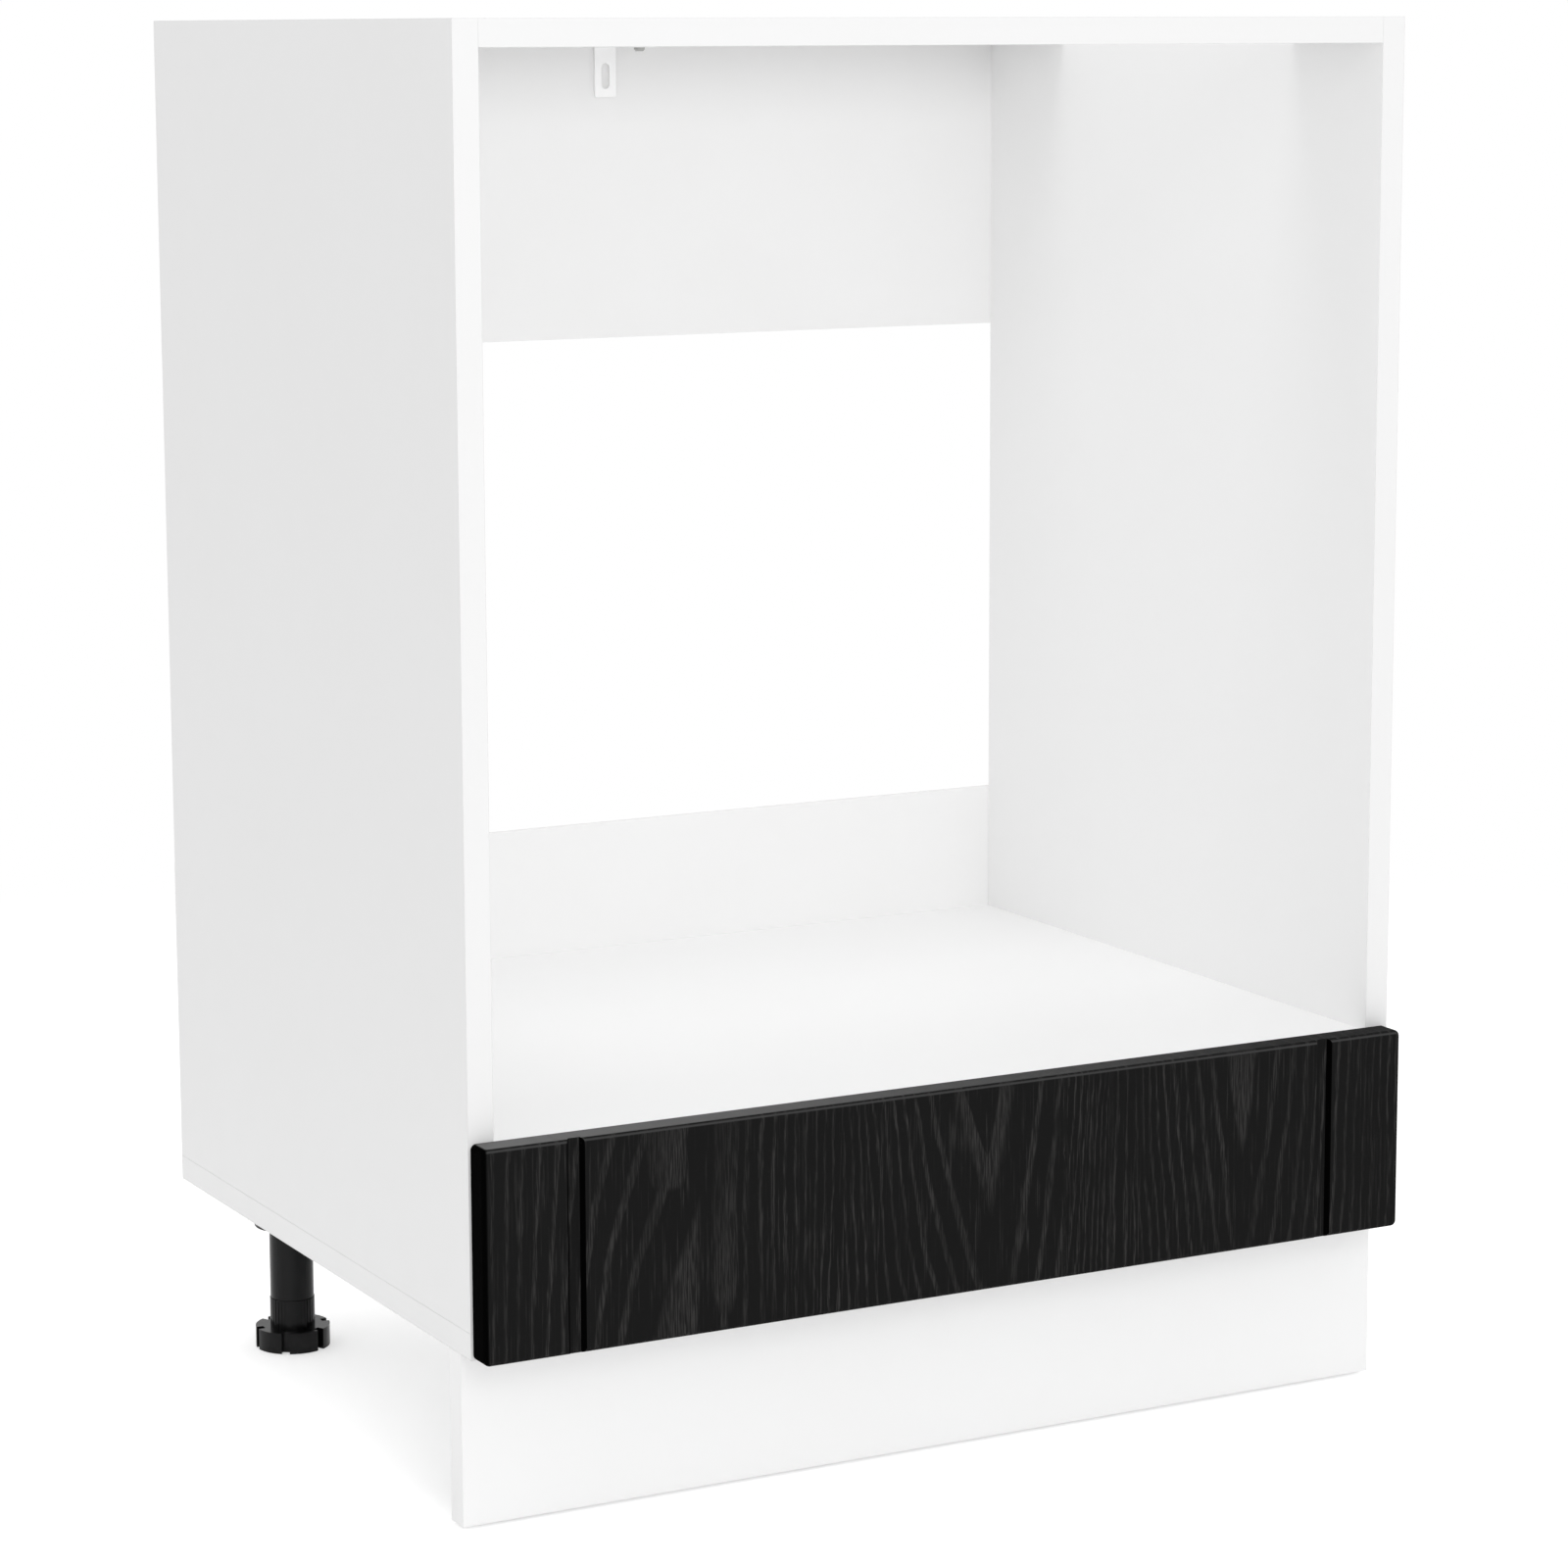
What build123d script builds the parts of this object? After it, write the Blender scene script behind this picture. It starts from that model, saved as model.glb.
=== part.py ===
from build123d import *
import os

# Oven base cabinet, in millimetres.
# The origin is on the floor, below the middle of the cabinet. X runs across the width,
# Y runs from the drawer front (negative) to the back boards (positive), Z is up.

# Carcass
cabinet_width = 600.0
side_depth = 440.5
carcass_height = 715.0
board_thickness = 15.0
leg_height = 100.0
rail_depth = 90.0

# Back boards, nailed over the rear edges of the carcass
back_thickness = 3.0
back_board_height = 200.0
back_side_margin = 1.0
back_edge_margin = 0.5

# Drawer front and its place
front_height = 120.0
front_thickness = 16.0
front_side_margin = 1.25
front_gap = 0.5
front_corner_radius = 3.5
front_edge_radius = 3.0
front_over_shelf = 2.0
stile_width = 49.4
groove_face_width = 10.8
groove_floor_width = 6.6
groove_depth = 3.0

# Drawer box
drawer_board = 12.0
drawer_side_height = 62.0
drawer_rear_space = 40.5
drawer_bottom_thickness = 3.0
drawer_groove_depth = 6.0
drawer_groove_height = 12.0
drawer_groove_play = 0.1

# Roller runners, measured from the inner face of the cabinet side
runner_space = 12.5
runner_sheet = 1.2
runner_lift = 7.0
runner_channel_height = 20.0
runner_channel_width = 10.0
runner_end_margin = 1.5
runner_open_end = 24.0
drawer_flange_reach = 10.5
drawer_flange_gap = 1.0
roller_radius = 8.5
roller_width = 5.4
roller_wall_gap = 2.2
roller_end_play = 0.2
roller_track_gap = 0.3
roller_end_inset = 13.5
pin_radius = 2.5
pin_collar_radius = 4.0
pin_head_thickness = 0.7

# Legs
leg_side_inset = 50.0
leg_rear_inset = 54.5
tube_radius = 13.5
tube_wall = 2.0
tube_floor = 12.0
foot_disc_radius = 23.0
foot_disc_height = 13.0
foot_collar_radius = 13.8
foot_collar_height = 18.0
foot_spindle_radius = 5.0
foot_spindle_length = 45.0
foot_gap = 0.3
notch_count = 6
notch_width = 5.0
notch_depth = 4.5
notch_angle = -3.5
rib_count = 36
rib_groove = 0.8
rib_depth = 0.4
socket_plate_size = 64.0
socket_plate_thickness = 3.0
socket_plate_corner = 10.0
socket_plate_gap = 0.5
sleeve_radius = 22.5
sleeve_drop = 23.0
sleeve_wall = 2.0
sleeve_web = 1.6
sleeve_roof = 1.5
sleeve_rim_radius = 1.0

# Plinth and its clips
plinth_height = 98.0
plinth_setback = 14.0
clip_plate_width = 46.0
clip_plate_thickness = 3.0
clip_height = 20.0
clip_level = 45.0
clip_neck_width = 16.0
clip_ring_wall = 3.0
clip_arm_reach = 5.0

# Wall bracket
bracket_width = 15.0
bracket_thickness = 2.0
bracket_drop = 33.5
bracket_run = 60.0
bracket_slot_length = 16.0
bracket_slot_width = 5.6
bracket_slot_drop = 20.0
bracket_corner_radius = 1.5
bracket_screw_run = 50.5

# Fasteners
fit_play = 0.05
screw_radius = 1.75
screw_bite = 12.0
screw_head_radius = 3.4
screw_head_height = 2.4
flat_head_height = 0.9
panel_screw_radius = 3.5
panel_screw_length = 50.0
panel_screw_head_radius = 5.0
panel_screw_inset = 30.0
panel_screw_middle_shift = 25.0
cam_radius = 7.5
cam_height = 12.0
cam_setback = 24.0
cam_bolt_thread_radius = 2.5
cam_bolt_thread_length = 11.0
cam_bolt_shank_radius = 3.5
cam_bolt_head_radius = 3.3
cam_bolt_head_length = 3.0
cam_bolt_neck_radius = 2.0
cam_bolt_neck_length = 5.0
cam_cavity_play = 0.4
dowel_radius = 4.0
dowel_length = 30.0
dowel_in_side = 12.0
shelf_cam_inset = 65.0
shelf_dowel_shift = 32.0
rail_fixing_shift = 22.0
small_cam_radius = 6.0
small_cam_height = 9.5
small_bolt_head_radius = 2.5
small_bolt_shank_radius = 2.6
small_dowel_radius = 3.0
small_dowel_length = 28.0
drawer_cam_level = 30.0
drawer_dowel_level = 50.0
back_screw_radius = 2.0
back_screw_length = 40.0
back_screw_head_radius = 3.8
drawer_screw_radius = 1.5
drawer_screw_bite = 9.5
drawer_screw_head_radius = 2.8
drawer_screw_head_height = 1.6
nail_radius = 0.7
nail_length = 20.0
nail_head_radius = 1.6
nail_head_thickness = 0.6
nail_inset = 22.0
nail_end_margin = 60.0
leg_screw_spacing = 46.0
clip_screw_spacing = 34.0
worktop_hole_radius = 2.5
worktop_hole_spacing = 400.0

# Places that follow from the sizes above
overall_depth = front_thickness + front_gap + side_depth + back_thickness
front_face = -overall_depth / 2
front_rear = front_face + front_thickness
carcass_front = front_rear + front_gap
carcass_rear = carcass_front + side_depth
carcass_middle = (carcass_front + carcass_rear) / 2
back_rear = carcass_rear + back_thickness
half_width = cabinet_width / 2
inner_half = half_width - board_thickness
side_middle = half_width - board_thickness / 2
bottom_top = leg_height + board_thickness
cabinet_top = leg_height + carcass_height
rail_underside = cabinet_top - board_thickness
shelf_top = leg_height + front_height - front_over_shelf
shelf_underside = shelf_top - board_thickness
shelf_middle = shelf_top - board_thickness / 2
rail_middle = cabinet_top - board_thickness / 2
bottom_middle = leg_height + board_thickness / 2
front_rail_row = carcass_front + rail_depth / 2
rear_rail_row = carcass_rear - rail_depth / 2

drawer_length = side_depth - drawer_rear_space
channel_bottom = bottom_top + runner_lift
channel_top = channel_bottom + runner_channel_height
channel_middle = (channel_bottom + channel_top) / 2
runner_front = carcass_front + runner_end_margin
runner_rear = runner_front + drawer_length
flange_underside = channel_top + drawer_flange_gap
drawer_half = inner_half - runner_space
drawer_inner_half = drawer_half - drawer_board
drawer_rear = front_rear + drawer_length
drawer_seat = channel_bottom + runner_sheet + 2 * roller_track_gap + roller_end_play
drawer_underside = drawer_seat + runner_sheet
drawer_top = drawer_underside + drawer_side_height
base_underside = drawer_underside + drawer_groove_height
base_top = base_underside + drawer_bottom_thickness
front_roller_row = carcass_front + roller_end_inset
front_roller_level = flange_underside - roller_track_gap - roller_radius
rear_roller_row = drawer_rear - roller_end_inset
roller_near = runner_sheet + roller_wall_gap
roller_far = roller_near + roller_width

plinth_front = carcass_front + plinth_setback
plinth_rear = plinth_front + board_thickness
plinth_bottom = leg_height - plinth_height
clip_middle = clip_level + clip_height / 2

leg_column = half_width - leg_side_inset
leg_front_row = plinth_rear + socket_plate_gap + socket_plate_size / 2
leg_rear_row = carcass_rear - leg_rear_inset
tube_bottom = foot_disc_height + foot_collar_height + foot_gap
tube_top = leg_height - socket_plate_thickness

bracket_front = carcass_rear - bracket_thickness
bracket_underside = rail_underside - bracket_thickness

shelf_cam_rows = [carcass_front + shelf_cam_inset, carcass_rear - shelf_cam_inset]
shelf_dowel_rows = [shelf_cam_rows[0] + shelf_dowel_shift, shelf_cam_rows[1] - shelf_dowel_shift]
end_joints = [
    (shelf_underside, shelf_cam_rows, shelf_dowel_rows),
    (rail_underside, [front_rail_row - rail_fixing_shift], [front_rail_row + rail_fixing_shift]),
    (rail_underside, [rear_rail_row - rail_fixing_shift], [rear_rail_row + rail_fixing_shift]),
]
panel_screw_rows = [
    carcass_front + panel_screw_inset,
    carcass_middle + panel_screw_middle_shift,
    carcass_rear - panel_screw_inset,
]
runner_screw_rows = [
    runner_front + 1.5 * panel_screw_inset,
    carcass_middle - panel_screw_middle_shift,
    runner_rear - panel_screw_inset,
]
drawer_screw_rows = [
    front_rear + panel_screw_inset,
    (front_rear + drawer_rear) / 2,
    drawer_rear - panel_screw_inset,
]
side_names = {-1: "left", 1: "right"}
leg_places = {
    "front_left": (-leg_column, leg_front_row),
    "front_right": (leg_column, leg_front_row),
    "rear_left": (-leg_column, leg_rear_row),
    "rear_right": (leg_column, leg_rear_row),
}

os.makedirs("parts", exist_ok=True)


def save(piece, node):
    """Labels a finished piece and writes it under its node's name."""
    piece.part.label = node
    export_step(piece.part, f"parts/{node}.step")


def spread(low, high, count):
    """Evenly spaced values from low to high, both ends included."""
    step = (high - low) / (count - 1)
    return [low + step * index for index in range(count)]


def end_planes(side, underside, rows):
    """Places at mid thickness on a board's end, facing into the cabinet."""
    level = underside + board_thickness / 2
    return [Plane(origin=(side * inner_half, row, level), z_dir=(-side, 0, 0)) for row in rows]


def cam_planes(side, underside, rows):
    """Places of the cams on a board's underside, with local X towards the cabinet side."""
    column = side * (inner_half - cam_setback)
    return [
        Plane(origin=(column, row, underside), x_dir=(side, 0, 0), z_dir=(0, 0, -1))
        for row in rows
    ]


def panel_screw_planes(side):
    """Places of the screws that rise through the bottom panel into a side's lower edge."""
    return [
        Plane(origin=(side * side_middle, row, leg_height), z_dir=(0, 0, -1))
        for row in panel_screw_rows
    ]


def runner_screw_planes(side):
    """Places of the cabinet runner's screws on the runner's web."""
    column = side * (inner_half - runner_sheet)
    return [
        Plane(origin=(column, row, channel_middle), z_dir=(-side, 0, 0))
        for row in runner_screw_rows
    ]


def leg_screw_planes(place):
    """Places of the four screws round one leg, on the socket plate's underside."""
    reach = leg_screw_spacing / 2
    return [
        Plane(origin=(place[0] + dx, place[1] + dy, tube_top), z_dir=(0, 0, -1))
        for dx in (-reach, reach)
        for dy in (-reach, reach)
    ]


def nail_plane(column, level):
    """Place of one nail on the back boards' outer face."""
    return Plane(origin=(column, back_rear, level), z_dir=(0, 1, 0))


upper_board_top = cabinet_top - back_edge_margin
upper_board_bottom = upper_board_top - back_board_height
lower_board_bottom = leg_height + back_edge_margin
lower_board_top = lower_board_bottom + back_board_height
nail_columns = spread(-inner_half + nail_end_margin, inner_half - nail_end_margin, 5)
upper_side_levels = spread(upper_board_bottom + nail_inset, rail_underside - nail_inset, 3)
lower_side_levels = spread(bottom_top + nail_inset, lower_board_top - nail_inset, 3)
upper_nails = [nail_plane(column, rail_middle) for column in nail_columns]
upper_nails += [
    nail_plane(side * side_middle, level) for side in side_names for level in upper_side_levels
]
lower_nails = [nail_plane(column, bottom_middle) for column in nail_columns]
lower_nails += [nail_plane(column, shelf_middle) for column in nail_columns]
lower_nails += [
    nail_plane(side * side_middle, level) for side in side_names for level in lower_side_levels
]
worktop_planes = [
    Plane(origin=(side * worktop_hole_spacing / 2, row, cabinet_top))
    for side in side_names
    for row in (front_rail_row, rear_rail_row)
]
bracket_screw_plane = Plane(
    origin=(0, carcass_rear - bracket_screw_run, bracket_underside), z_dir=(0, 0, -1)
)


def turned(profile):
    """A solid of revolution about Z from a closed outline of (radius, height) points."""
    with BuildPart() as piece:
        with BuildSketch(Plane.XZ):
            with BuildLine():
                Polyline(*profile, close=True)
            make_face()
        revolve(axis=Axis.Z)
    return piece


def cross_recess(width, depth, level):
    """Cross for a driver, reaching down from the given level, to be cut from a head."""
    with BuildPart() as cross:
        with BuildSketch(Plane.XY.offset(level)):
            Rectangle(width, width / 4)
            Rectangle(width / 4, width)
        extrude(amount=-depth)
    return cross.part


def pan_screw(radius, length, head_radius, head_height):
    """Screw whose head stands on the surface at Z = 0 and whose shank runs down from it."""
    tip = 2 * radius
    with BuildPart() as screw:
        add(
            turned(
                [
                    (0, head_height),
                    (0.7 * head_radius, head_height),
                    (head_radius, head_height / 2),
                    (head_radius, 0),
                    (radius, 0),
                    (radius, tip - length),
                    (0, -length),
                ]
            ).part
        )
        add(cross_recess(1.2 * head_radius, head_height / 2, head_height), mode=Mode.SUBTRACT)
    return screw.part


def sunk_screw(radius, length, head_radius):
    """Screw with a countersunk head, flush with the surface at Z = 0."""
    head_depth = head_radius - radius
    tip = 2 * radius
    with BuildPart() as screw:
        add(
            turned(
                [
                    (0, 0),
                    (head_radius, 0),
                    (radius, -head_depth),
                    (radius, tip - length),
                    (0, -length),
                ]
            ).part
        )
        add(cross_recess(1.1 * head_radius, head_depth * 0.6, 0), mode=Mode.SUBTRACT)
    return screw.part


def cam_lock(radius, height, bolt_depth, cavity_half):
    """Cam whose face is at Z = 0, hollowed from its rim for the bolt's head, along X."""
    with BuildPart() as cam:
        with BuildSketch():
            Circle(radius)
        extrude(amount=-height)
        add(cross_recess(radius, height / 6, 0), mode=Mode.SUBTRACT)
        with BuildSketch(Plane.XY.offset(-bolt_depth - cavity_half)):
            with Locations((radius / 2 - cavity_half / 2, 0)):
                Rectangle(radius + cavity_half, 2 * cavity_half)
        extrude(amount=2 * cavity_half, mode=Mode.SUBTRACT)
    return cam.part


def cam_bolt(shank_radius, head_radius):
    """Bolt screwed in below Z = 0, whose head reaches up into the middle of its cam."""
    top = cam_setback + cam_bolt_head_length / 2
    neck_top = top - cam_bolt_head_length
    neck_bottom = neck_top - cam_bolt_neck_length
    return turned(
        [
            (0, top),
            (head_radius, top),
            (head_radius, neck_top),
            (cam_bolt_neck_radius, neck_top),
            (cam_bolt_neck_radius, neck_bottom),
            (shank_radius, neck_bottom),
            (shank_radius, 0),
            (cam_bolt_thread_radius, 0),
            (cam_bolt_thread_radius, -cam_bolt_thread_length),
            (0, -cam_bolt_thread_length),
        ]
    ).part


def dowel(radius, length, sunk):
    """Wooden dowel with chamfered ends, sunk below Z = 0 by its seated length."""
    chamfer_size = radius / 4
    return turned(
        [
            (0, -sunk),
            (radius - chamfer_size, -sunk),
            (radius, chamfer_size - sunk),
            (radius, length - sunk - chamfer_size),
            (radius - chamfer_size, length - sunk),
            (0, length - sunk),
        ]
    ).part


def group(node, piece, planes):
    """One node that holds a separate solid at each place."""
    with BuildPart() as fasteners:
        with Locations(*planes):
            add(piece)
    save(fasteners, node)


def end_joint_planes(side):
    """Places of the cam bolts and of the dowels in a side, one pair for each joint."""
    return [
        (end_planes(side, underside, cam_rows), end_planes(side, underside, dowel_rows))
        for underside, cam_rows, dowel_rows in end_joints
    ]


# Side panels
for side, side_name in side_names.items():
    with BuildPart() as side_panel:
        with BuildSketch(Plane.XY.offset(bottom_top)):
            with Locations((side * side_middle, carcass_middle)):
                Rectangle(board_thickness, side_depth)
        extrude(amount=carcass_height - board_thickness)
        for bolt_places, dowel_places in end_joint_planes(side):
            with Locations(*bolt_places):
                Hole(cam_bolt_thread_radius + fit_play, cam_bolt_thread_length)
            with Locations(*dowel_places):
                Hole(dowel_radius + fit_play, dowel_in_side)
        with Locations(*panel_screw_planes(side)):
            Hole(panel_screw_radius + fit_play, panel_screw_length)
        with Locations(*runner_screw_planes(side)):
            Hole(screw_radius + fit_play, runner_sheet + screw_bite)
        with Locations(*upper_nails, *lower_nails):
            Hole(nail_radius + fit_play, nail_length)
    save(side_panel, f"side_panel_{side_name}")

# Bottom panel, full width, with the sides standing on it
with BuildPart() as bottom_panel:
    with BuildSketch(Plane.XY.offset(leg_height)):
        with Locations((0, carcass_middle)):
            Rectangle(cabinet_width, side_depth)
    extrude(amount=board_thickness)
    for side in side_names:
        with Locations(*panel_screw_planes(side)):
            CounterSinkHole(
                panel_screw_radius + fit_play,
                panel_screw_head_radius + fit_play,
                counter_sink_angle=90,
            )
    for place in leg_places.values():
        with Locations(*leg_screw_planes(place)):
            Hole(screw_radius + fit_play, socket_plate_thickness + screw_bite)
    with Locations(*lower_nails):
        Hole(nail_radius + fit_play, nail_length)
save(bottom_panel, "bottom_panel")


def fitted_board(node, underside, front, depth, cam_rows, dowel_rows, extra_nails):
    """Board between the sides, with its cam, bolt, dowel and nail holes cut."""
    with BuildPart() as fitted:
        with BuildSketch(Plane.XY.offset(underside)):
            with Locations((0, front + depth / 2)):
                Rectangle(2 * inner_half, depth)
        extrude(amount=board_thickness)
        for side in side_names:
            with Locations(*cam_planes(side, underside, cam_rows)):
                Hole(cam_radius + fit_play, cam_height)
            with Locations(*end_planes(side, underside, cam_rows)):
                Hole(cam_bolt_shank_radius + fit_play, cam_setback)
            with Locations(*end_planes(side, underside, dowel_rows)):
                Hole(dowel_radius + fit_play, dowel_length - dowel_in_side)
        with Locations(*extra_nails):
            Hole(nail_radius + fit_play, nail_length)
        if underside == rail_underside:
            with Locations(*worktop_planes):
                Hole(worktop_hole_radius)
            with Locations(bracket_screw_plane):
                Hole(screw_radius + fit_play, bracket_thickness + screw_bite)
    save(fitted, node)


rail_front_edges = [carcass_front, carcass_rear - rail_depth]
fitted_board("oven_shelf", shelf_underside, carcass_front, side_depth, *end_joints[0][1:], lower_nails)
fitted_board(
    "top_rail_front", rail_underside, rail_front_edges[0], rail_depth, *end_joints[1][1:], upper_nails
)
fitted_board(
    "top_rail_rear", rail_underside, rail_front_edges[1], rail_depth, *end_joints[2][1:], upper_nails
)


def back_board(node, bottom, nails):
    """Thin board over the rear edges, with sunk places for its nail heads."""
    with BuildPart() as board:
        with BuildSketch(Plane.XZ.offset(-back_rear)):
            with Locations((0, bottom + back_board_height / 2)):
                Rectangle(cabinet_width - 2 * back_side_margin, back_board_height)
        extrude(amount=back_thickness)
        with Locations(*nails):
            Hole(nail_radius + fit_play)
            Hole(nail_head_radius + fit_play, nail_head_thickness)
    save(board, node)


back_board("back_board_upper", upper_board_bottom, upper_nails)
back_board("back_board_lower", lower_board_bottom, lower_nails)

nail = turned(
    [
        (0, 0),
        (nail_head_radius, 0),
        (nail_head_radius, -nail_head_thickness),
        (nail_radius, -nail_head_thickness),
        (nail_radius, 2 * nail_radius - nail_length),
        (0, -nail_length),
    ]
).part
group("back_nails", nail, [*upper_nails, *lower_nails])

# Cams, bolts, dowels and screws of the carcass
cam = cam_lock(
    cam_radius, cam_height, board_thickness / 2, cam_bolt_head_radius + cam_cavity_play
)
cam_places = [
    place
    for side in side_names
    for underside, cam_rows, dowel_rows in end_joints
    for place in cam_planes(side, underside, cam_rows)
]
bolt_places = [
    place
    for side in side_names
    for underside, cam_rows, dowel_rows in end_joints
    for place in end_planes(side, underside, cam_rows)
]
dowel_places = [
    place
    for side in side_names
    for underside, cam_rows, dowel_rows in end_joints
    for place in end_planes(side, underside, dowel_rows)
]
group("cam_locks", cam, cam_places)
group("cam_bolts", cam_bolt(cam_bolt_shank_radius, cam_bolt_head_radius), bolt_places)
group("dowels", dowel(dowel_radius, dowel_length, dowel_in_side), dowel_places)
panel_screw = sunk_screw(panel_screw_radius, panel_screw_length, panel_screw_head_radius)
group(
    "bottom_screws", panel_screw, [place for side in side_names for place in panel_screw_planes(side)]
)

# Wall bracket under the rear rail
with BuildPart() as wall_bracket:
    with BuildSketch(Plane.YZ.offset(-bracket_width / 2)):
        with BuildLine():
            Polyline(
                (carcass_rear - bracket_run, rail_underside),
                (carcass_rear, rail_underside),
                (carcass_rear, rail_underside - bracket_drop),
                (bracket_front, rail_underside - bracket_drop),
                (bracket_front, bracket_underside),
                (carcass_rear - bracket_run, bracket_underside),
                close=True,
            )
        make_face()
    extrude(amount=bracket_width)
    low_corners = wall_bracket.edges().filter_by(Axis.Y).group_by(Axis.Z)[0]
    fillet(low_corners, bracket_corner_radius)
    front_corners = wall_bracket.edges().filter_by(Axis.Z).group_by(Axis.Y)[0]
    fillet(front_corners, bracket_corner_radius)
    with BuildSketch(Plane.XZ.offset(-carcass_rear)):
        with Locations((0, rail_underside - bracket_slot_drop)):
            SlotOverall(bracket_slot_length, bracket_slot_width, rotation=90)
    extrude(amount=bracket_thickness, mode=Mode.SUBTRACT)
    with Locations(bracket_screw_plane):
        Hole(screw_radius + fit_play, bracket_thickness)
save(wall_bracket, "wall_bracket")
bracket_screw = pan_screw(
    screw_radius, bracket_thickness + screw_bite, screw_head_radius, screw_head_height
)
group("wall_bracket_screw", bracket_screw, [bracket_screw_plane])


def clip_screw_planes(side):
    """Places of the two screws on the rear face of one plinth clip's plate."""
    return [
        Plane(
            origin=(
                side * leg_column + shift * clip_screw_spacing / 2,
                plinth_rear + clip_plate_thickness,
                clip_middle,
            ),
            z_dir=(0, 1, 0),
        )
        for shift in (-1, 1)
    ]


# Plinth board
with BuildPart() as plinth_board:
    with BuildSketch(Plane.XY.offset(plinth_bottom)):
        with Locations((0, plinth_front + board_thickness / 2)):
            Rectangle(cabinet_width, board_thickness)
    extrude(amount=plinth_height)
    for side in side_names:
        with Locations(*clip_screw_planes(side)):
            Hole(screw_radius + fit_play, clip_plate_thickness + screw_bite)
save(plinth_board, "plinth_board")

# Plinth clips, hooked round the front leg tubes
for side, side_name in side_names.items():
    plate_row = plinth_rear + clip_plate_thickness / 2
    ring_outer = tube_radius + fit_play + clip_ring_wall
    with BuildPart() as plinth_clip:
        with BuildSketch(Plane.XY.offset(clip_level)):
            with Locations((side * leg_column, plate_row)):
                Rectangle(clip_plate_width, clip_plate_thickness)
            with Locations((side * leg_column, (plinth_rear + leg_front_row) / 2)):
                Rectangle(clip_neck_width, leg_front_row - plinth_rear)
            with Locations((side * leg_column, leg_front_row)):
                Circle(ring_outer)
                Circle(tube_radius + fit_play, mode=Mode.SUBTRACT)
            with Locations((side * leg_column, leg_front_row + clip_arm_reach + ring_outer / 2)):
                Rectangle(2 * ring_outer, ring_outer, mode=Mode.SUBTRACT)
        extrude(amount=clip_height)
        with Locations(*clip_screw_planes(side)):
            Hole(screw_radius + fit_play, clip_plate_thickness)
    save(plinth_clip, f"plinth_clip_{side_name}")

plate_screw = pan_screw(
    screw_radius, clip_plate_thickness + screw_bite, screw_head_radius, screw_head_height
)
group(
    "plinth_clip_screws", plate_screw, [place for side in side_names for place in clip_screw_planes(side)]
)

# Legs: socket, tube and levelling foot at each corner
for leg_name, place in leg_places.items():
    with BuildPart() as leg_socket:
        with BuildSketch(Plane(origin=(*place, leg_height))):
            Circle(sleeve_radius)
        extrude(amount=-sleeve_drop)
        rim = leg_socket.faces().sort_by(Axis.Z)[0].edges()
        fillet(rim, sleeve_rim_radius)
        with BuildSketch(Plane(origin=(*place, tube_top))):
            RectangleRounded(socket_plate_size, socket_plate_size, socket_plate_corner)
        extrude(amount=socket_plate_thickness)
        with BuildSketch(Plane(origin=(*place, leg_height - sleeve_drop))):
            Circle(sleeve_radius - sleeve_wall)
            Circle(tube_radius + fit_play + sleeve_wall, mode=Mode.SUBTRACT)
            with PolarLocations(0, 3):
                Rectangle(2 * sleeve_radius, sleeve_web, mode=Mode.SUBTRACT)
        extrude(amount=sleeve_drop - socket_plate_thickness - sleeve_roof, mode=Mode.SUBTRACT)
        with BuildSketch(Plane(origin=(*place, leg_height - sleeve_drop))):
            Circle(tube_radius + fit_play)
        extrude(amount=sleeve_drop - socket_plate_thickness, mode=Mode.SUBTRACT)
        with Locations(*leg_screw_planes(place)):
            Hole(screw_radius + fit_play, socket_plate_thickness)
    save(leg_socket, f"leg_socket_{leg_name}")

    with BuildPart() as leg_tube:
        with BuildSketch(Plane(origin=(*place, tube_bottom))):
            Circle(tube_radius)
            Circle(foot_spindle_radius + fit_play, mode=Mode.SUBTRACT)
        extrude(amount=tube_top - tube_bottom)
        with BuildSketch(Plane(origin=(*place, tube_bottom + tube_floor))):
            Circle(tube_radius - tube_wall)
        extrude(amount=tube_top - tube_bottom - tube_floor, mode=Mode.SUBTRACT)
    save(leg_tube, f"leg_tube_{leg_name}")

    with BuildPart() as levelling_foot:
        with BuildSketch(Plane(origin=(*place, 0))):
            Circle(foot_disc_radius)
            with PolarLocations(foot_disc_radius, notch_count, start_angle=notch_angle):
                Rectangle(2 * notch_depth, notch_width, mode=Mode.SUBTRACT)
        extrude(amount=foot_disc_height)
        with BuildSketch(Plane(origin=(*place, foot_disc_height))):
            Circle(foot_collar_radius)
            with PolarLocations(foot_collar_radius, rib_count):
                Rectangle(2 * rib_depth, rib_groove, mode=Mode.SUBTRACT)
        extrude(amount=foot_collar_height)
        with BuildSketch(Plane(origin=(*place, foot_disc_height + foot_collar_height))):
            Circle(foot_spindle_radius)
        extrude(amount=foot_spindle_length)
    save(levelling_foot, f"levelling_foot_{leg_name}")

leg_screw = pan_screw(
    screw_radius, socket_plate_thickness + screw_bite, screw_head_radius, screw_head_height
)
group(
    "leg_socket_screws",
    leg_screw,
    [place for corner in leg_places.values() for place in leg_screw_planes(corner)],
)


def across(side, distance):
    """X of a point at the given distance from a cabinet side's inner face."""
    return side * (inner_half - distance)


def strip(side, near, far, low, high):
    """One leg of a bent sheet section, between two distances and two levels."""
    with Locations((across(side, (near + far) / 2), (low + high) / 2)):
        Rectangle(far - near, high - low)


def roller_plane(side, distance, row, level):
    """Plane square to a roller's axle, facing into the cabinet."""
    return Plane(origin=(across(side, distance), row, level), z_dir=(-side, 0, 0))


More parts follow.
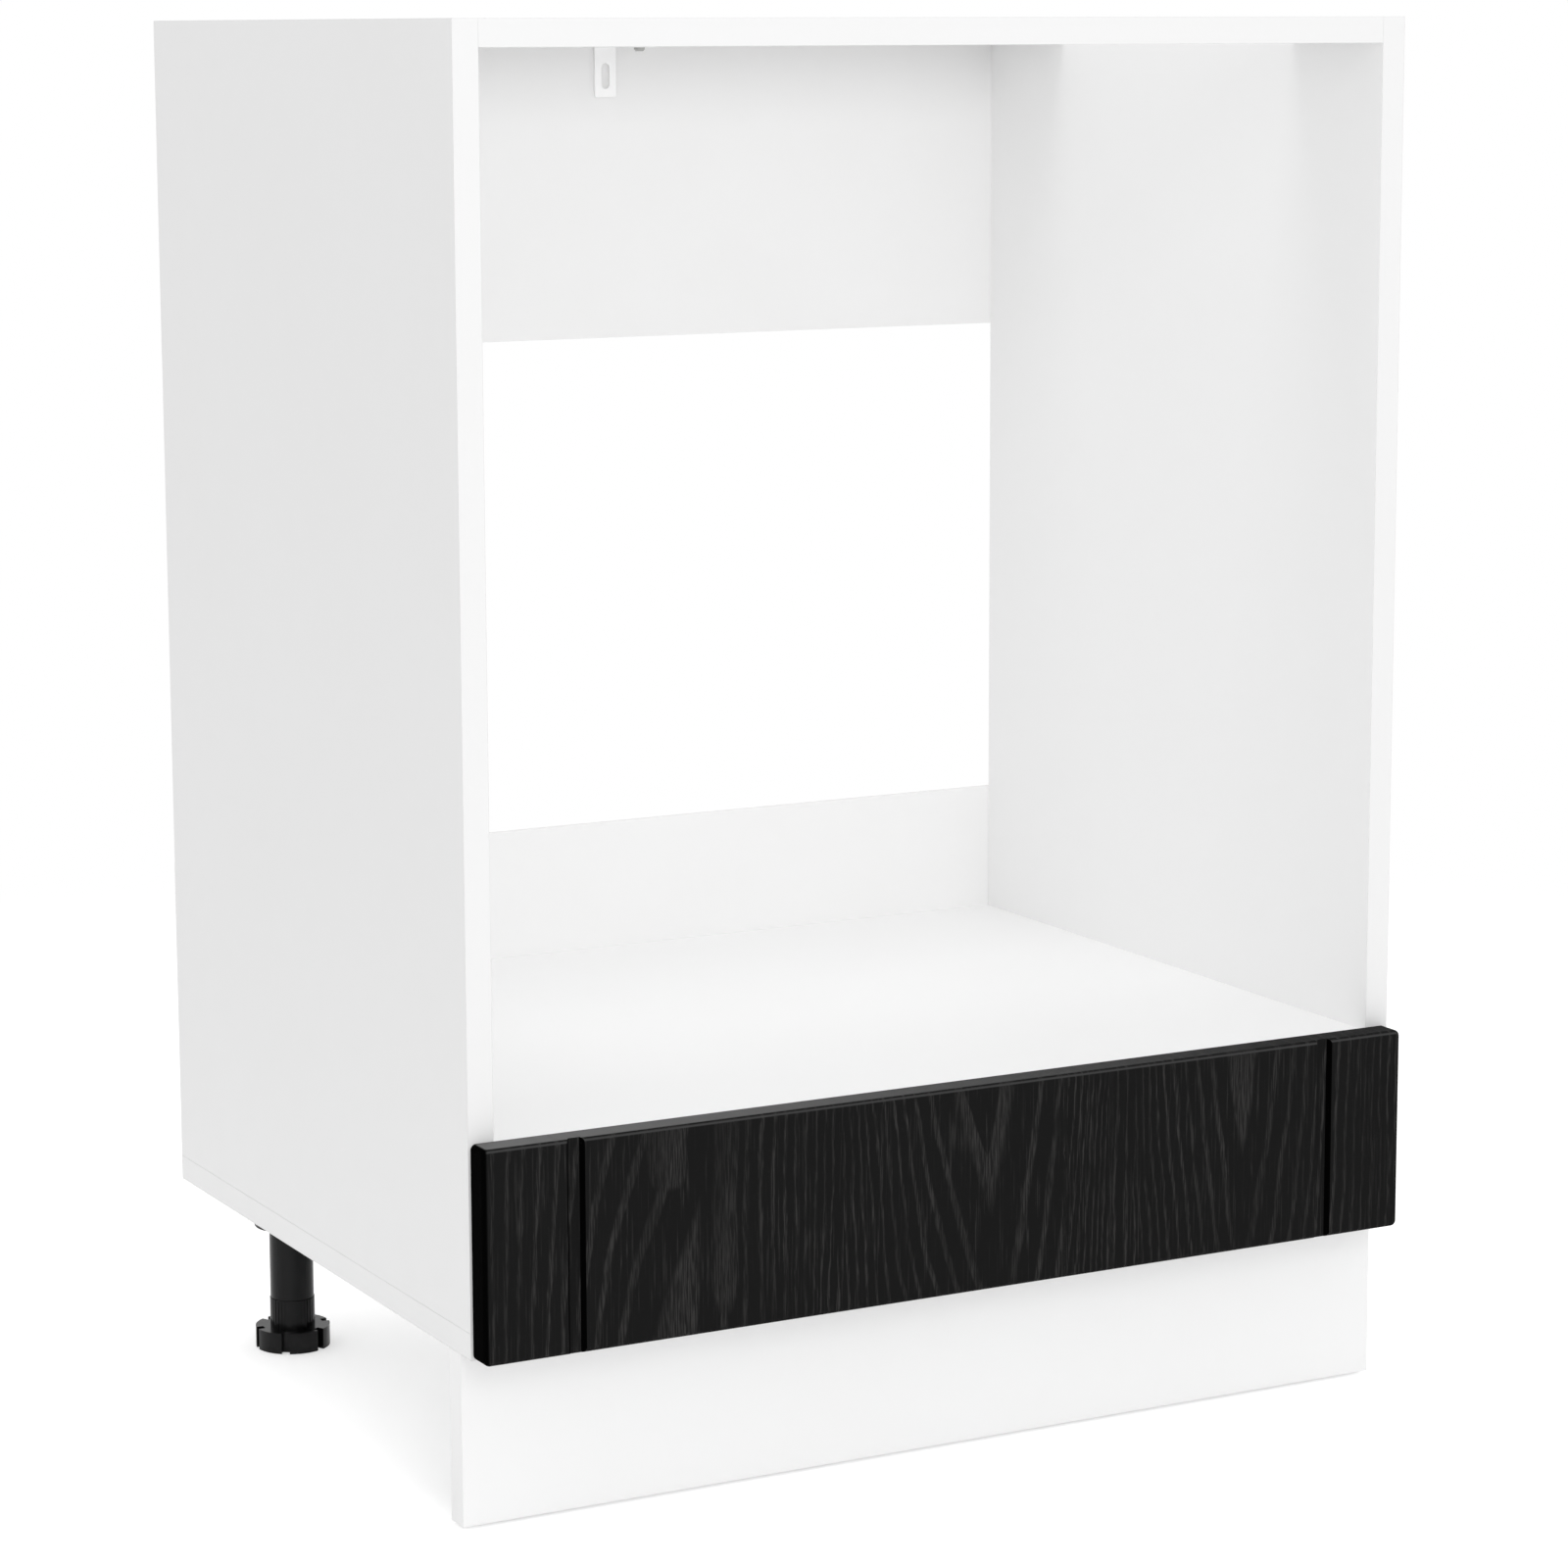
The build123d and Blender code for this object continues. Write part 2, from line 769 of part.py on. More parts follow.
def drawer_screw_planes(side):
    """Places of the drawer runner's screws, on its lower flange's underside."""
    column = across(side, runner_space + drawer_board / 2)
    return [Plane(origin=(column, row, drawer_seat), z_dir=(0, 0, -1)) for row in drawer_screw_rows]


def back_screw_planes(side):
    """Places of the screws through a drawer side into the drawer back's end."""
    return [
        Plane(
            origin=(side * drawer_half, drawer_rear - drawer_board / 2, drawer_underside + level),
            z_dir=(side, 0, 0),
        )
        for level in (drawer_cam_level, drawer_dowel_level)
    ]


def front_fixing_plane(side, level):
    """Place on the drawer front's rear face, in line with the middle of a drawer side."""
    column = side * (drawer_half - drawer_board / 2)
    return Plane(origin=(column, front_rear, drawer_underside + level), z_dir=(0, 1, 0))


def small_cam_plane(side):
    """Place of a drawer side's cam on its inner face, with local X towards the front."""
    return Plane(
        origin=(
            side * drawer_inner_half,
            front_rear + cam_setback,
            drawer_underside + drawer_cam_level,
        ),
        x_dir=(0, -1, 0),
        z_dir=(-side, 0, 0),
    )


# Runners and rollers
for side, side_name in side_names.items():
    with BuildPart() as cabinet_runner:
        with BuildSketch(Plane.XZ.offset(-runner_rear)):
            strip(side, 0, runner_sheet, channel_bottom, channel_top)
        extrude(amount=drawer_length)
        with BuildSketch(Plane.XZ.offset(-runner_rear)):
            strip(side, 0, runner_channel_width, channel_bottom, channel_bottom + runner_sheet)
            strip(side, 0, runner_channel_width, channel_top - runner_sheet, channel_top)
        extrude(amount=drawer_length - runner_open_end)
        with Locations(*runner_screw_planes(side)):
            Hole(screw_radius + fit_play, runner_sheet)
        with Locations(roller_plane(side, 0, front_roller_row, front_roller_level)):
            Hole(pin_radius + fit_play, runner_sheet)
    save(cabinet_runner, f"cabinet_runner_{side_name}")

    with BuildPart() as drawer_runner:
        with BuildSketch(Plane.XZ.offset(-drawer_rear)):
            strip(side, runner_space - runner_sheet, runner_space, drawer_seat, flange_underside)
            strip(
                side,
                runner_space - drawer_flange_reach,
                runner_space,
                flange_underside,
                flange_underside + runner_sheet,
            )
            strip(
                side,
                runner_space - runner_sheet,
                runner_space + drawer_board,
                drawer_seat,
                drawer_underside,
            )
        extrude(amount=drawer_length)
        with Locations(*drawer_screw_planes(side)):
            Hole(drawer_screw_radius + fit_play, runner_sheet)
        with Locations(roller_plane(side, runner_space, rear_roller_row, channel_middle)):
            Hole(pin_radius + fit_play, runner_sheet)
    save(drawer_runner, f"drawer_runner_{side_name}")

    for roller_name, row, level in (
        ("front_roller", front_roller_row, front_roller_level),
        ("rear_roller", rear_roller_row, channel_middle),
    ):
        with BuildPart() as roller:
            with BuildSketch(roller_plane(side, roller_near, row, level)):
                Circle(roller_radius)
                Circle(pin_radius + fit_play, mode=Mode.SUBTRACT)
            extrude(amount=roller_width)
        save(roller, f"{roller_name}_{side_name}")

# Pins that the rollers turn on, riveted into the runners' webs
front_pin = turned(
    [
        (0, 0),
        (pin_radius, 0),
        (pin_radius, runner_sheet),
        (pin_collar_radius, runner_sheet),
        (pin_collar_radius, roller_near - roller_end_play),
        (pin_radius, roller_near - roller_end_play),
        (pin_radius, roller_far + roller_end_play),
        (pin_collar_radius, roller_far + roller_end_play),
        (pin_collar_radius, roller_far + roller_end_play + pin_head_thickness),
        (0, roller_far + roller_end_play + pin_head_thickness),
    ]
).part
rear_pin_reach = runner_space - roller_near + roller_end_play
rear_pin = turned(
    [
        (0, 0),
        (pin_radius, 0),
        (pin_radius, -runner_sheet),
        (pin_collar_radius, -runner_sheet),
        (pin_collar_radius, roller_far + roller_end_play - runner_space),
        (pin_radius, roller_far + roller_end_play - runner_space),
        (pin_radius, -rear_pin_reach),
        (pin_collar_radius, -rear_pin_reach),
        (pin_collar_radius, -rear_pin_reach - pin_head_thickness),
        (0, -rear_pin_reach - pin_head_thickness),
    ]
).part
group(
    "front_roller_pins",
    front_pin,
    [roller_plane(side, 0, front_roller_row, front_roller_level) for side in side_names],
)
group(
    "rear_roller_pins",
    rear_pin,
    [roller_plane(side, runner_space, rear_roller_row, channel_middle) for side in side_names],
)
flat_screw = pan_screw(screw_radius, runner_sheet + screw_bite, screw_head_radius, flat_head_height)
group(
    "cabinet_runner_screws",
    flat_screw,
    [place for side in side_names for place in runner_screw_planes(side)],
)
small_screw = pan_screw(
    drawer_screw_radius,
    runner_sheet + drawer_screw_bite,
    drawer_screw_head_radius,
    drawer_screw_head_height,
)
group(
    "drawer_runner_screws",
    small_screw,
    [place for side in side_names for place in drawer_screw_planes(side)],
)

# Drawer front, with two upright grooves
front_width = cabinet_width - 2 * front_side_margin
groove_column = front_width / 2 - stile_width - groove_face_width / 2
with BuildPart() as drawer_front:
    with BuildSketch(Plane.XZ.offset(-front_rear)):
        with Locations((0, leg_height + front_height / 2)):
            RectangleRounded(front_width, front_height, front_corner_radius)
    extrude(amount=front_thickness)
    face_edges = drawer_front.faces().sort_by(Axis.Y)[0].edges()
    fillet(face_edges, front_edge_radius)
    for side in side_names:
        with BuildSketch(Plane.XY.offset(leg_height)):
            with BuildLine():
                Polyline(
                    (side * groove_column - groove_face_width / 2, front_face),
                    (side * groove_column - groove_floor_width / 2, front_face + groove_depth),
                    (side * groove_column + groove_floor_width / 2, front_face + groove_depth),
                    (side * groove_column + groove_face_width / 2, front_face),
                    close=True,
                )
            make_face()
        extrude(amount=front_height, mode=Mode.SUBTRACT)
    with BuildSketch(Plane.XZ.offset(-front_rear)):
        with Locations((0, base_underside + drawer_bottom_thickness / 2)):
            Rectangle(
                2 * (drawer_inner_half + drawer_groove_depth),
                drawer_bottom_thickness + 2 * drawer_groove_play,
            )
    extrude(amount=drawer_groove_depth, mode=Mode.SUBTRACT)
    for side in side_names:
        with Locations(front_fixing_plane(side, drawer_cam_level)):
            Hole(cam_bolt_thread_radius + fit_play, cam_bolt_thread_length)
        with Locations(front_fixing_plane(side, drawer_dowel_level)):
            Hole(small_dowel_radius + fit_play, small_dowel_length / 3)
save(drawer_front, "drawer_front")

# Drawer sides
for side, side_name in side_names.items():
    with BuildPart() as drawer_side:
        with BuildSketch(Plane.XY.offset(drawer_underside)):
            with Locations((side * (drawer_half - drawer_board / 2), (front_rear + drawer_rear) / 2)):
                Rectangle(drawer_board, drawer_length)
        extrude(amount=drawer_side_height)
        with BuildSketch(Plane.XY.offset(base_underside - drawer_groove_play)):
            with Locations(
                (side * (drawer_inner_half + drawer_groove_depth / 2), (front_rear + drawer_rear) / 2)
            ):
                Rectangle(drawer_groove_depth, drawer_length)
        extrude(amount=drawer_bottom_thickness + 2 * drawer_groove_play, mode=Mode.SUBTRACT)
        with Locations(small_cam_plane(side)):
            Hole(small_cam_radius + fit_play, small_cam_height)
        with Locations(front_fixing_plane(side, drawer_cam_level)):
            Hole(small_bolt_shank_radius + fit_play, cam_setback)
        with Locations(front_fixing_plane(side, drawer_dowel_level)):
            Hole(small_dowel_radius + fit_play, 2 * small_dowel_length / 3)
        with Locations(*drawer_screw_planes(side)):
            Hole(drawer_screw_radius + fit_play, runner_sheet + drawer_screw_bite)
        with Locations(*back_screw_planes(side)):
            CounterSinkHole(
                back_screw_radius + fit_play,
                back_screw_head_radius + fit_play,
                counter_sink_angle=90,
            )
    save(drawer_side, f"drawer_side_{side_name}")


def base_nail_planes():
    """Places of the nails that rise through the drawer bottom into the drawer back."""
    reach = drawer_inner_half - nail_end_margin
    row = drawer_rear - drawer_board / 2
    return [
        Plane(origin=(column, row, base_underside), z_dir=(0, 0, -1))
        for column in spread(-reach, reach, 5)
    ]


with BuildPart() as drawer_back:
    with BuildSketch(Plane.XY.offset(base_top)):
        with Locations((0, drawer_rear - drawer_board / 2)):
            Rectangle(2 * drawer_inner_half, drawer_board)
    extrude(amount=drawer_top - base_top)
    for side in side_names:
        with Locations(*back_screw_planes(side)):
            Hole(back_screw_radius + fit_play, back_screw_length)
    with Locations(*base_nail_planes()):
        Hole(nail_radius + fit_play, nail_length)
save(drawer_back, "drawer_back")

bottom_half = drawer_inner_half + drawer_groove_depth - drawer_groove_play
bottom_front = front_rear - drawer_groove_depth + drawer_groove_play
with BuildPart() as drawer_bottom:
    with BuildSketch(Plane.XY.offset(base_underside)):
        with Locations((0, (bottom_front + drawer_rear) / 2)):
            Rectangle(2 * bottom_half, drawer_rear - bottom_front)
    extrude(amount=drawer_bottom_thickness)
    with Locations(*base_nail_planes()):
        Hole(nail_radius + fit_play)
        Hole(nail_head_radius + fit_play, nail_head_thickness)
save(drawer_bottom, "drawer_bottom")

# Fasteners of the drawer box
small_cam = cam_lock(
    small_cam_radius,
    small_cam_height,
    drawer_board / 2,
    small_bolt_head_radius + cam_cavity_play,
)
group("drawer_cams", small_cam, [small_cam_plane(side) for side in side_names])
group(
    "drawer_cam_bolts",
    cam_bolt(small_bolt_shank_radius, small_bolt_head_radius),
    [front_fixing_plane(side, drawer_cam_level) for side in side_names],
)
group(
    "drawer_dowels",
    dowel(small_dowel_radius, small_dowel_length, small_dowel_length / 3),
    [front_fixing_plane(side, drawer_dowel_level) for side in side_names],
)
back_screw = sunk_screw(back_screw_radius, back_screw_length, back_screw_head_radius)
group(
    "drawer_back_screws", back_screw, [place for side in side_names for place in back_screw_planes(side)]
)
group("drawer_base_nails", nail, base_nail_planes())
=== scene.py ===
import math
import bpy
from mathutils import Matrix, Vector

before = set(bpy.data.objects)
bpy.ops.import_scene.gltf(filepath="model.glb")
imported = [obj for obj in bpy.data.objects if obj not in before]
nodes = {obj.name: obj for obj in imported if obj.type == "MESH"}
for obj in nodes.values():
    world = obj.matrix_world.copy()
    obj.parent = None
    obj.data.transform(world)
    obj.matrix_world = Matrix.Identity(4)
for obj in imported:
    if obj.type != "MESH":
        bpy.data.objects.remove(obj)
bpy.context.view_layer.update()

# Shades of the white surfaces, as display values from 0 to 255. The plinth, the shelf and the right
# side's inner face are lighter copies of the same white board, painted lighter to stand in for
# light that reaches them too weakly. The back boards' shade is their own board's colour, raised
# further as painted light.
board_shade = 243
bottom_shade = 244
plinth_shade_painted_light = 252
shelf_shade_painted_light = 253
right_inner_shade_painted_light = 251
hardboard_shade_with_painted_light = 249
runner_shade = 240
bracket_shade = 252
floor_shade = 250

# Small rounding of the boards' banded edges and of coated metal, in metres
banding_radius = 0.0005
bottom_banding_radius = 0.0012
coat_radius = 0.0005

# Height of the fine surface relief, in metres
press_relief = 0.00003
fibre_relief = 0.00004
pore_relief = 0.00008
fleck_relief = 0.00004
plastic_relief = 0.00002
metal_relief = 0.00001
peel_relief = 0.00002

# A face counts as turned to a side where its normal's part along that axis passes these
turned_from = 0.80
turned_to = 0.95

white = (1, 1, 1, 1)
black = (0, 0, 0, 1)


def linear(value):
    """Linear light for one display value from 0 to 255."""
    value = value / 255
    if value <= 0.04045:
        return value / 12.92
    return ((value + 0.055) / 1.055) ** 2.4


def grey(value, warm=0.0):
    """Linear colour of a display grey, warmer above 0 and cooler below."""
    level = linear(value)
    return (level * (1 + warm), level, level * (1 - warm), 1)


def even(level):
    """Grey that has the same linear light in each channel."""
    return (level, level, level, 1)


def scaled_color(color, factor):
    """Linear colour made darker or lighter, with no channel over 1."""
    return tuple(min(1, channel * factor) for channel in color) + (1,)


class Shader:
    """A node material under construction: a Principled shader and its texture coordinates."""

    def __init__(self, name):
        self.material = bpy.data.materials.new(name)
        self.material.use_nodes = True
        self.tree = self.material.node_tree
        self.surface = self.tree.nodes["Principled BSDF"]
        coordinates = self.node("ShaderNodeTexCoord")
        self.place = coordinates.outputs["Object"]
        self.facing = coordinates.outputs["Normal"]

    def node(self, kind, **values):
        """A new node with the given properties."""
        made = self.tree.nodes.new(kind)
        for key, value in values.items():
            setattr(made, key, value)
        return made

    def link(self, source, target):
        self.tree.links.new(source, target)

    def axes(self, vector):
        """The X, Y and Z parts of a vector."""
        made = self.node("ShaderNodeSeparateXYZ")
        self.link(vector, made.inputs["Vector"])
        return made.outputs["X"], made.outputs["Y"], made.outputs["Z"]

    def scaled(self, scale, offset=(0, 0, 0)):
        """Texture coordinates stretched by a scale along each axis."""
        mapping = self.node("ShaderNodeMapping")
        mapping.inputs["Scale"].default_value = scale
        mapping.inputs["Location"].default_value = offset
        self.link(self.place, mapping.inputs["Vector"])
        return mapping.outputs["Vector"]

    def noise(self, scale, detail=2.0, roughness=0.5, offset=(0, 0, 0)):
        """Noise of so many cells per metre, given for each axis or once for all three."""
        if not isinstance(scale, tuple):
            scale = (scale, scale, scale)
        texture = self.node("ShaderNodeTexNoise")
        texture.inputs["Scale"].default_value = 1.0
        texture.inputs["Detail"].default_value = detail
        texture.inputs["Roughness"].default_value = roughness
        self.link(self.scaled(scale, offset), texture.inputs["Vector"])
        return texture.outputs["Fac"]

    def span(self, source, low, high, to_low=0.0, to_high=1.0, smooth=False):
        """Maps a value from one range to another, clamped."""
        made = self.node("ShaderNodeMapRange")
        made.interpolation_type = "SMOOTHSTEP" if smooth else "LINEAR"
        made.inputs["From Min"].default_value = low
        made.inputs["From Max"].default_value = high
        made.inputs["To Min"].default_value = to_low
        made.inputs["To Max"].default_value = to_high
        self.link(source, made.inputs["Value"])
        return made.outputs["Result"]

    def math(self, operation, *values):
        """One operation on numbers or linked outputs."""
        made = self.node("ShaderNodeMath", operation=operation)
        for index, value in enumerate(values):
            if isinstance(value, (int, float)):
                made.inputs[index].default_value = value
            else:
                self.link(value, made.inputs[index])
        return made.outputs[0]

    def plus(self, first, second):
        return self.math("ADD", first, second)

    def minus(self, first, second):
        return self.math("SUBTRACT", first, second)

    def times(self, first, second):
        return self.math("MULTIPLY", first, second)

    def larger(self, first, second):
        return self.math("MAXIMUM", first, second)

    def mix(self, factor, first, second):
        """Colour between two colours, or two linked outputs."""
        made = self.node("ShaderNodeMix", data_type="RGBA")
        self.link(factor, made.inputs["Factor"])
        for key, value in (("A", first), ("B", second)):
            socket = [s for s in made.inputs if s.name == key and s.type == "RGBA"][0]
            if isinstance(value, tuple):
                socket.default_value = value
            else:
                self.link(value, socket)
        return [s for s in made.outputs if s.type == "RGBA"][0]

    def bump(self, height, distance, normal=None):
        """Normal of a relief that is so many metres high."""
        made = self.node("ShaderNodeBump")
        made.inputs["Distance"].default_value = distance
        self.link(height, made.inputs["Height"])
        if normal is not None:
            self.link(normal, made.inputs["Normal"])
        return made.outputs["Normal"]

    def rounded(self, radius):
        """Normal that turns a sharp edge into a slightly rounded one, which catches the light."""
        made = self.node("ShaderNodeBevel", samples=6)
        made.inputs["Radius"].default_value = radius
        return made.outputs["Normal"]

    def glow(self, color, strength):
        """Light of a colour, which is a colour or a linked output."""
        made = self.node("ShaderNodeEmission")
        made.inputs["Strength"].default_value = strength
        if isinstance(color, tuple):
            made.inputs["Color"].default_value = color
        else:
            self.link(color, made.inputs["Color"])
        return made.outputs["Emission"]

    def finish(self, color, roughness, normal=None, **fixed):
        """Connects the maps, sets what is the same all over, and gives the material."""
        for socket, value in (("Base Color", color), ("Roughness", roughness), ("Normal", normal)):
            if value is None:
                continue
            if isinstance(value, (int, float)):
                self.surface.inputs[socket].default_value = value
            else:
                self.link(value, self.surface.inputs[socket])
        for key, value in fixed.items():
            self.surface.inputs[key.replace("_", " ")].default_value = value
        return self.material


def seen_rays(tree):
    """1 for rays that see a surface straight, mirrored or through glass, and 0 for soft light."""
    path = tree.nodes.new("ShaderNodeLightPath")
    seen = path.outputs["Is Camera Ray"]
    for ray in ("Is Glossy Ray", "Is Transmission Ray"):
        either = tree.nodes.new("ShaderNodeMath")
        either.operation = "MAXIMUM"
        tree.links.new(seen, either.inputs[0])
        tree.links.new(path.outputs[ray], either.inputs[1])
        seen = either.outputs[0]
    return seen


def chipboard(s):
    """Colour and height of pressed wood flakes, about two millimetres across."""
    flakes = s.node("ShaderNodeTexVoronoi", feature="F1")
    flakes.inputs["Scale"].default_value = 1.0
    s.link(s.scaled((650, 650, 420)), flakes.inputs["Vector"])
    tone = s.node("ShaderNodeSeparateColor")
    s.link(flakes.outputs["Color"], tone.inputs["Color"])
    color = s.mix(tone.outputs["Red"], (0.34, 0.22, 0.12, 1), (0.62, 0.47, 0.29, 1))
    return color, s.times(tone.outputs["Green"], 6.0)


def melamine(name, shade, raw_rear=False, left_face_painted_light=None, radius=banding_radius):
    """White melamine board with a fine pressed texture and banded edges of a small radius. If
    asked, its rear edges are bare chipboard, and its face turned left is painted a lighter shade,
    as painted light."""
    s = Shader(name)
    color = s.mix(s.noise(9, detail=3), grey(shade - 1, 0.002), grey(shade + 1, -0.002))
    height = s.noise(900, detail=3, roughness=0.6)
    rough = s.span(s.noise(60, detail=4), 0.3, 0.7, 0.40, 0.48)
    # Painted light: the face turned left gets a lighter shade, standing in for light that reaches
    # it too weakly.
    if left_face_painted_light is not None:
        turned_left = s.span(s.axes(s.facing)[0], -turned_from, -turned_to)
        color = s.mix(turned_left, color, grey(left_face_painted_light))
    if raw_rear:
        turned_back = s.span(s.axes(s.facing)[1], turned_from, turned_to)
        flake_color, flake_height = chipboard(s)
        color = s.mix(turned_back, color, flake_color)
        rough = s.larger(rough, s.times(turned_back, 0.85))
        height = s.plus(height, s.times(turned_back, flake_height))
    relief = s.bump(height, press_relief, s.rounded(radius))
    return s.finish(color, rough, relief, Specular_IOR_Level=0.4)


def hardboard(name, shade):
    """Thin lacquered board with a faint paper texture."""
    s = Shader(name)
    color = s.mix(s.noise(14, detail=4), grey(shade - 2, 0.003), grey(shade + 1))
    fibre = s.noise((380, 380, 160), detail=4, roughness=0.65)
    rough = s.span(fibre, 0.3, 0.7, 0.50, 0.62)
    return s.finish(color, rough, s.bump(fibre, fibre_relief), Specular_IOR_Level=0.35)


def arch_lines(s, across, up, column, apex, lean, tilt, stretch, slope, curve, inside):
    """Count of the grain lines outwards from a pointed arch, whose tip is at the column and the
    apex. Its two sides spread upwards by lean, and its middle moves sideways upwards by tilt.
    Stretch makes the lines closer on one side, slope and curve say how close they lie outside the
    arch, and inside how close they lie within it."""
    fade_rate = -260.0
    tip_rounding = 0.000002
    height = s.minus(up, apex)
    offset = s.minus(across, column)
    fade = s.math("EXPONENT", s.times(s.times(offset, offset), fade_rate))
    offset = s.minus(offset, s.times(s.times(height, tilt), fade))
    away = s.math("SQRT", s.plus(s.times(offset, offset), tip_rounding))
    away = s.plus(away, s.times(offset, stretch))
    away = s.minus(away, s.times(s.times(height, lean), fade))
    outer = s.larger(away, 0.0)
    lines = s.times(outer, s.plus(s.times(outer, curve), slope))
    return s.plus(lines, s.times(s.math("MINIMUM", away, 0.0), inside))


def light_patch(s, across, up, column, level, width, reach):
    """Upright patch in which the pores lie so close that it looks lighter as a whole."""
    dx = s.math("DIVIDE", s.minus(across, column), width)
    dz = s.math("DIVIDE", s.minus(up, level), reach)
    far_across = s.math("POWER", s.math("ABSOLUTE", dx), 4.0)
    far_up = s.math("POWER", s.math("ABSOLUTE", dz), 4.0)
    return s.span(s.plus(far_across, far_up), 0.6, 1.1, 0.8, 0.0)


def oak_grain(s):
    """Strength of the pale pores, from 0 to 1: long upright streaks that meet in three pointed
    arches."""
    across, _, up = s.axes(s.place)
    for scale, width in (((26, 26, 9), 0.010), ((150, 150, 45), 0.0030), ((420, 420, 110), 0.0014)):
        sway = s.minus(s.noise(scale, offset=(0.3, 0.1, 0.7)), 0.5)
        across = s.plus(across, s.times(sway, width))
    left = arch_lines(
        s, across, up, column=-0.173, apex=0.156, lean=-0.185, tilt=0.185,
        stretch=0.20, slope=20.0, curve=760.0, inside=3.0,
    )
    middle = arch_lines(
        s, across, up, column=0.014, apex=0.166, lean=0.265, tilt=-0.085,
        stretch=-0.05, slope=12.5, curve=900.0, inside=70.0,
    )
    right = arch_lines(
        s, across, up, column=0.186, apex=0.164, lean=0.165, tilt=-0.015,
        stretch=-0.10, slope=50.0, curve=800.0, inside=3.0,
    )
    join_softness = 0.4
    lines = s.math("SMOOTH_MIN", left, middle, join_softness)
    lines = s.math("SMOOTH_MIN", lines, right, join_softness)
    dense_strip = s.times(s.span(across, 0.064, 0.067), s.span(across, 0.095, 0.098, 1.0, 0.0))
    lines = s.times(lines, s.plus(dense_strip, 1.0))
    phase = s.math("FRACT", s.plus(lines, 1.2))
    rise = s.span(phase, 0.0, 0.10, smooth=True)
    fall = s.span(phase, 0.24, 0.36, 1.0, 0.0, smooth=True)
    band = s.times(rise, fall)
    stray = s.span(s.noise((700, 700, 18), detail=1, offset=(7, 0, 3)), 0.56, 0.66)
    band = s.larger(band, s.times(stray, 0.7))
    tall_patch = light_patch(s, across, up, column=-0.153, level=0.172, width=0.0085, reach=0.062)
    low_patch = light_patch(s, across, up, column=-0.190, level=0.208, width=0.012, reach=0.024)
    band = s.larger(s.larger(band, tall_patch), low_patch)
    cloud = s.span(s.noise((34, 34, 9), detail=1, offset=(2, 0, 5)), 0.34, 0.60)
    pores = s.span(s.noise((1300, 1300, 60)), 0.44, 0.58)
    band = s.times(band, s.plus(s.times(cloud, 0.6), 0.4))
    return s.times(band, s.plus(s.times(pores, 0.85), 0.15))


def black_oak(name):
    """Black foil with upright open-pored grain. Its upper rim carries a painted highlight and its
    top a painted reflection, lighter at the left, and the faces turned sideways get a painted
    shade, the darkest colour."""
    s = Shader(name)
    grain = oak_grain(s)
    left_to_right = s.axes(s.place)[0]
    sideways, _, upward = s.axes(s.facing)
    # Faces turned sideways: painted shade in the colour, and a rougher finish.
    sideways = s.span(s.math("ABSOLUTE", sideways), 0.15, 0.45)
    # Upper rounded rim: painted highlight.
    rim = s.times(s.span(upward, 0.25, 0.45), s.span(upward, 0.60, 0.80, 1.0, 0.0))
    # Top face: painted reflection, strongest at the left and fading towards the right.
    top = s.times(s.span(upward, 0.90, 0.98), s.span(left_to_right, -0.28, 0.22, 1.0, 0.0))
    color = s.mix(grain, even(0.0112), (0.038, 0.037, 0.0365, 1))
    color = s.mix(rim, color, even(0.050))
    color = s.mix(top, color, even(0.150))
    color = s.mix(sideways, color, even(0.0010))
    rough = s.larger(s.span(grain, 0.0, 1.0, 0.40, 0.55), s.times(sideways, 0.85))
    relief = s.bump(s.minus(1.0, grain), pore_relief)
    return s.finish(color, rough, relief, Specular_IOR_Level=0.006)


def plastic(name, color, rough_low, rough_high, specular=0.5):
    """Moulded plastic with a fine spark-eroded texture."""
    s = Shader(name)
    base = s.mix(s.noise(40, detail=3), scaled_color(color, 0.9), scaled_color(color, 1.08))
    rough = s.span(s.noise(90, detail=3), 0.3, 0.7, rough_low, rough_high)
    relief = s.bump(s.noise(700, detail=3, roughness=0.6), plastic_relief)
    return s.finish(base, rough, relief, Specular_IOR_Level=specular)


def metal(name, color, rough_low, rough_high):
    """Bare or plated metal with a cloudy surface."""
    s = Shader(name)
    base = s.mix(s.noise(70, detail=4), scaled_color(color, 0.86), scaled_color(color, 1.06))
    marks = s.noise(300, detail=4, roughness=0.6)
    rough = s.span(marks, 0.3, 0.7, rough_low, rough_high)
    return s.finish(base, rough, s.bump(marks, metal_relief), Metallic=1.0)


def powder(name, shade, metallic=0.0):
    """White powder coat with a fine orange peel, over bright metal if asked."""
    s = Shader(name)
    color = s.mix(s.noise(25), grey(shade - 1), grey(shade + 1))
    peel = s.noise(520, detail=1)
    rough = s.span(peel, 0.3, 0.7, 0.36, 0.44)
    relief = s.bump(peel, peel_relief, s.rounded(coat_radius))
    return s.finish(color, rough, relief, Specular_IOR_Level=0.5, Metallic=metallic)


def beech(name):
    """Plain beech dowels with short flecks along their length."""
    s = Shader(name)
    flecks = s.noise((120, 900, 900), detail=3)
    color = s.mix(s.span(flecks, 0.35, 0.65), (0.52, 0.34, 0.19, 1), (0.70, 0.51, 0.32, 1))
    return s.finish(color, 0.6, s.bump(flecks, fleck_relief))


def each(pieces, places):
    """Names of the nodes of some pieces at some places."""
    return [f"{piece}_{place}" for piece in pieces for place in places]


